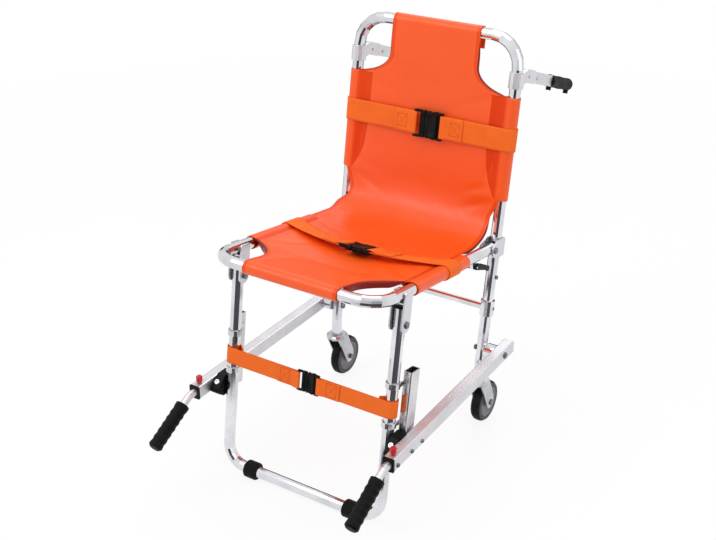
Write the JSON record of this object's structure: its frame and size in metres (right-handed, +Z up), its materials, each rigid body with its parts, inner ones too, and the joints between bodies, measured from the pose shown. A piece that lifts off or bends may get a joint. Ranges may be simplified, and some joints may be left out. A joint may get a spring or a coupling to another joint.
{
  "type": "evacuation chair",
  "caption": "Folding evacuation chair: bent tube frame with an orange sling seat and back, buckled straps, sliding front handles, swing-down rear handles and rear swivel casters.",
  "frame": {"origin": "middle of the bounding box at floor level", "axes": "+X to the right of someone who stands in front of the chair, +Y to its rear, +Z up"},
  "size_m": [0.517, 1.0263, 0.9145],
  "materials": {
    "polished_tube": "bright polished tube",
    "satin_aluminium": "satin",
    "zinc_plate": "zinc plated",
    "bolt_steel": "dark steel",
    "black_plastic": "moulded",
    "grip_rubber": "matt",
    "tyre_rubber": "matt",
    "hub_plastic": "moulded",
    "red_knob": "moulded",
    "orange_vinyl": "coated, glossy",
    "orange_webbing": "woven"
  },
  "bodies": {
    "back": {"back_frame": "polished_tube", "rear_crossbar": "polished_tube", "seat_bracket_left": "satin_aluminium", "seat_pivot_bolt_left": "bolt_steel", "rail_pivot_bolt_left": "bolt_steel", "handle_clamp_left": "satin_aluminium", "chest_strap_left": "orange_webbing", "seat_bracket_right": "satin_aluminium", "seat_pivot_bolt_right": "bolt_steel", "rail_pivot_bolt_right": "bolt_steel", "handle_clamp_right": "satin_aluminium", "chest_strap_right": "orange_webbing", "sling_back": "orange_vinyl", "chest_buckle_socket": "black_plastic", "chest_buckle_plug": "black_plastic"},
    "seat": {"seat_frame": "polished_tube", "leg_hinge_left": "satin_aluminium", "leg_pivot_bolt_left": "bolt_steel", "lap_strap_left": "orange_webbing", "leg_hinge_right": "satin_aluminium", "leg_pivot_bolt_right": "bolt_steel", "lap_strap_right": "orange_webbing", "sling_seat": "orange_vinyl", "lap_buckle_socket": "black_plastic", "lap_buckle_plug": "black_plastic"},
    "legs": {"leg_frame": "polished_tube", "rubber_foot_left": "grip_rubber", "leg_brace_left": "satin_aluminium", "clamp_block_left": "black_plastic", "leg_strap_left": "orange_webbing", "rubber_foot_right": "grip_rubber", "leg_brace_right": "satin_aluminium", "clamp_block_right": "black_plastic", "leg_strap_right": "orange_webbing", "leg_buckle_socket": "black_plastic", "leg_buckle_plug": "black_plastic"},
    "rail_left": {"rail_left": "satin_aluminium", "rail_bush_left": "black_plastic"},
    "front_handle_left": {"front_handle_left": "satin_aluminium", "front_grip_left": "grip_rubber"},
    "lock_pin_left": {"lock_pin_left": "red_knob"},
    "rear_handle_left": {"rear_handle_left": "satin_aluminium", "rear_grip_left": "grip_rubber"},
    "caster_left": {"caster_fork_left": "zinc_plate", "caster_axle_left": "bolt_steel"},
    "wheel_left": {"tyre_left": "tyre_rubber", "wheel_hub_left": "hub_plastic"},
    "fold_latch_left": {"fold_latch_left": "black_plastic"},
    "rail_right": {"rail_right": "satin_aluminium", "rail_bush_right": "black_plastic"},
    "front_handle_right": {"front_handle_right": "satin_aluminium", "front_grip_right": "grip_rubber"},
    "lock_pin_right": {"lock_pin_right": "red_knob"},
    "rear_handle_right": {"rear_handle_right": "satin_aluminium", "rear_grip_right": "grip_rubber"},
    "caster_right": {"caster_fork_right": "zinc_plate", "caster_axle_right": "bolt_steel"},
    "wheel_right": {"tyre_right": "tyre_rubber", "wheel_hub_right": "hub_plastic"},
    "fold_latch_right": {"fold_latch_right": "black_plastic"}
  },
  "joints": [
    {"name": "seat_fold", "type": "hinge", "parent": "back", "child": "seat", "pos_m": [0, 0.12965, 0.45485], "axis": [-1, 0, 0], "range_deg": [0, 84]},
    {"name": "leg_fold", "type": "hinge", "parent": "seat", "child": "legs", "pos_m": [0, -0.25806, 0.45485], "axis": [-1, 0, 0], "range_deg": [-84, 0]},
    {"name": "rail_fold_left", "type": "hinge", "parent": "back", "child": "rail_left", "pos_m": [-0.242, 0.12163, 0.206], "axis": [-1, 0, 0], "range_deg": [0, 84]},
    {"name": "front_handle_slide_left", "type": "slide", "parent": "rail_left", "child": "front_handle_left", "axis": [0, -1, 0], "range_m": [0, 0.18]},
    {"name": "lock_pin_pull_left", "type": "slide", "parent": "rail_left", "child": "lock_pin_left", "axis": [0, 0, 1], "range_m": [0, 0.008], "stiffness_N_per_m": 500, "springref_m": -0.004},
    {"name": "rear_handle_swing_left", "type": "hinge", "parent": "back", "child": "rear_handle_left", "pos_m": [-0.196, 0.26162, 0.813], "axis": [-1, 0, 0], "range_deg": [0, 78]},
    {"name": "caster_swivel_left", "type": "hinge", "parent": "back", "child": "caster_left", "pos_m": [-0.196, 0.11624, 0.128], "axis": [0, 0, 1], "continuous": true},
    {"name": "wheel_roll_left", "type": "hinge", "parent": "caster_left", "child": "wheel_left", "pos_m": [-0.196, 0.15024, 0.05], "axis": [1, 0, 0], "continuous": true},
    {"name": "fold_latch_pull_left", "type": "hinge", "parent": "seat", "child": "fold_latch_left", "pos_m": [-0.196, 0.05221, 0.44535], "axis": [-1, 0, 0], "range_deg": [0, 20], "stiffness_Nm_per_rad": 0.3, "springref_deg": -11.46},
    {"name": "rail_fold_right", "type": "hinge", "parent": "back", "child": "rail_right", "pos_m": [0.242, 0.12163, 0.206], "axis": [-1, 0, 0], "range_deg": [0, 84]},
    {"name": "front_handle_slide_right", "type": "slide", "parent": "rail_right", "child": "front_handle_right", "axis": [0, -1, 0], "range_m": [0, 0.18]},
    {"name": "lock_pin_pull_right", "type": "slide", "parent": "rail_right", "child": "lock_pin_right", "axis": [0, 0, 1], "range_m": [0, 0.008], "stiffness_N_per_m": 500, "springref_m": -0.004},
    {"name": "rear_handle_swing_right", "type": "hinge", "parent": "back", "child": "rear_handle_right", "pos_m": [0.196, 0.26162, 0.813], "axis": [-1, 0, 0], "range_deg": [0, 78]},
    {"name": "caster_swivel_right", "type": "hinge", "parent": "back", "child": "caster_right", "pos_m": [0.196, 0.11624, 0.128], "axis": [0, 0, 1], "continuous": true},
    {"name": "wheel_roll_right", "type": "hinge", "parent": "caster_right", "child": "wheel_right", "pos_m": [0.196, 0.15024, 0.05], "axis": [1, 0, 0], "continuous": true},
    {"name": "fold_latch_pull_right", "type": "hinge", "parent": "seat", "child": "fold_latch_right", "pos_m": [0.196, 0.05221, 0.44535], "axis": [-1, 0, 0], "range_deg": [0, 20], "stiffness_Nm_per_rad": 0.3, "springref_deg": -11.46}
  ],
  "couplings": [
    {"joint": "leg_fold", "follows": "seat_fold", "ratio": -1},
    {"joint": "rail_fold_left", "follows": "seat_fold", "ratio": 1},
    {"joint": "rail_fold_right", "follows": "seat_fold", "ratio": 1}
  ]
}
